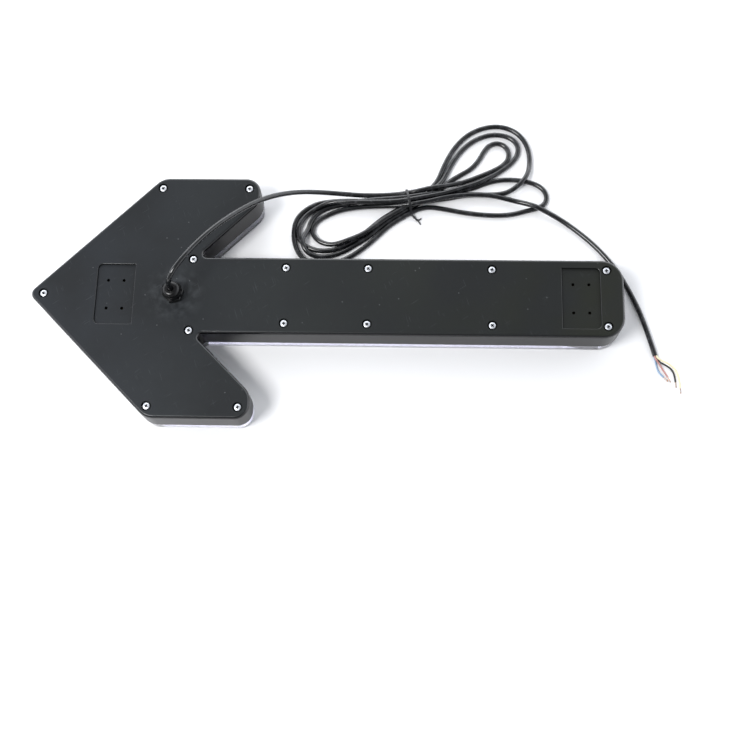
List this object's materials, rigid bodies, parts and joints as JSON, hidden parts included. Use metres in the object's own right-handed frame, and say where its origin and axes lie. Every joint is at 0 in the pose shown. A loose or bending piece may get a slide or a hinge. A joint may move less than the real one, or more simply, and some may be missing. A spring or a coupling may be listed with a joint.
{
  "type": "directional arrow light board",
  "caption": "Arrow-shaped traffic warning light board lying face down, with sunk bolt pads, a cable gland and a coiled supply cable.",
  "frame": {"origin": "on the bench under the middle of the board, which lies on its clear lens cover; the free cable isn't counted", "axes": "+X from the arrow's tip to its tail end, +Z out of the board's back, +Y to the side where the cable's hank lies"},
  "size_m": [0.6618, 0.3478, 0.0887],
  "materials": {
    "shell_abs": "black ABS, satin moulded",
    "seal_rubber": "black rubber",
    "clear_lens": "clear polycarbonate",
    "zinc_steel": "bright zinc",
    "brass": "turned",
    "circuit_board": "white solder mask",
    "component_black": "moulded epoxy",
    "emitter_amber": "amber phosphor",
    "optic_clear": "clear acrylic",
    "terminal_green": "nylon",
    "choke_copper": "enamelled copper wire",
    "gland_nylon": "black nylon",
    "cable_pvc": "black PVC",
    "tie_plastic": "black twist tie",
    "core_black": "PVC",
    "core_yellow": "PVC",
    "core_blue": "PVC",
    "core_red": "PVC",
    "core_copper": "tinned copper"
  },
  "bodies": {
    "root": {"back_shell": "shell_abs", "rim_gasket": "seal_rubber", "lens_cover": "clear_lens", "cover_screws": "zinc_steel", "mount_inserts": "brass", "stem_lamp_board": "circuit_board", "left_wing_lamp_board": "circuit_board", "right_wing_lamp_board": "circuit_board", "ballast_resistors": "component_black", "board_screws": "zinc_steel", "stem_emitters": "emitter_amber", "left_wing_emitters": "emitter_amber", "right_wing_emitters": "emitter_amber", "stem_optics": "optic_clear", "left_wing_optics": "optic_clear", "right_wing_optics": "optic_clear", "flasher_board": "circuit_board", "terminal_block": "terminal_green", "terminal_screws": "zinc_steel", "smoothing_capacitor": "component_black", "choke_coil": "choke_copper", "driver_chips": "component_black", "stacking_header": "component_black", "left_wing_jumper": "core_red", "right_wing_jumper": "core_red", "gland_washer": "seal_rubber", "gland_body": "gland_nylon", "gland_locknut": "gland_nylon", "gland_seal": "seal_rubber", "gland_dome_nut": "gland_nylon", "cable_entry": "cable_pvc", "entry_cores": "core_yellow", "cable_lead": "cable_pvc", "cable_hank": "cable_pvc", "cable_tail": "cable_pvc", "hank_tie": "tie_plastic", "core_black": "core_black", "core_yellow": "core_yellow", "core_blue": "core_blue", "core_red": "core_red", "core_tips": "core_copper"}
  },
  "joints": []
}
